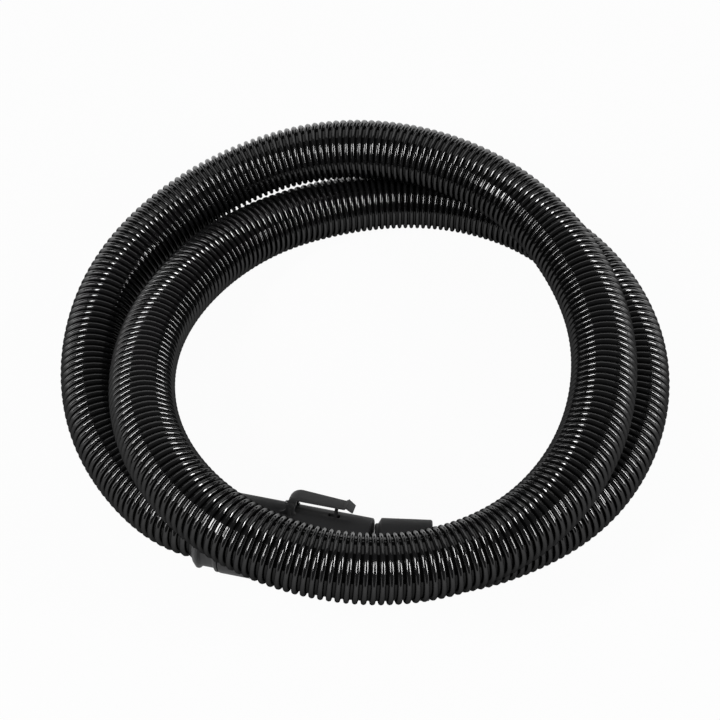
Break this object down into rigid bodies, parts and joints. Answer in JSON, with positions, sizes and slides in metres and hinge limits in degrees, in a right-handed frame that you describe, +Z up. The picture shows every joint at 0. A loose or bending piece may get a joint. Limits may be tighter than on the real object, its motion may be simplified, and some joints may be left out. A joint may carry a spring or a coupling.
{
  "type": "vacuum hose",
  "caption": "Corrugated black suction hose in two loose turns, with a latching swivel connector on one end and a plain swivel cuff on the other.",
  "frame": {"origin": "middle of the coil's box, on the surface that the hose lies on", "axes": "+Z up, +X to the right and +Y away from the side where the two ends meet"},
  "size_m": [0.4388, 0.4032, 0.1021],
  "materials": {
    "hose_gloss_black": "gloss",
    "fitting_charcoal": "satin",
    "seal_rubber": "matte",
    "spring_steel": "brushed"
  },
  "bodies": {
    "hose": {"hose_tube": "hose_gloss_black", "hose_collar": "fitting_charcoal", "swivel_ring": "spring_steel", "cuff_sleeve": "fitting_charcoal", "cuff_washer": "seal_rubber"},
    "connector": {"connector_body": "fitting_charcoal", "connector_seal": "seal_rubber", "latch_pin": "spring_steel", "latch_spring": "spring_steel"},
    "latch": {"latch_lever": "fitting_charcoal"},
    "cuff": {"cuff_body": "fitting_charcoal"}
  },
  "joints": [
    {"name": "connector_swivel", "type": "hinge", "parent": "hose", "child": "connector", "pos_m": [-0.0927, -0.1282, 0.0277], "axis": [0.9778, -0.2096, 0], "range_deg": [-80, 15]},
    {"name": "latch_hinge", "type": "hinge", "parent": "connector", "child": "latch", "pos_m": [-0.04799, -0.11907, 0.05383], "axis": [-0.1717, -0.801, 0.5736], "range_deg": [0, 10], "stiffness_Nm_per_rad": 0.4, "springref_deg": -5.73},
    {"name": "cuff_swivel", "type": "hinge", "parent": "hose", "child": "cuff", "pos_m": [0.0444, -0.149, 0.0271], "axis": [-0.999, 0.0436, 0], "continuous": true}
  ]
}
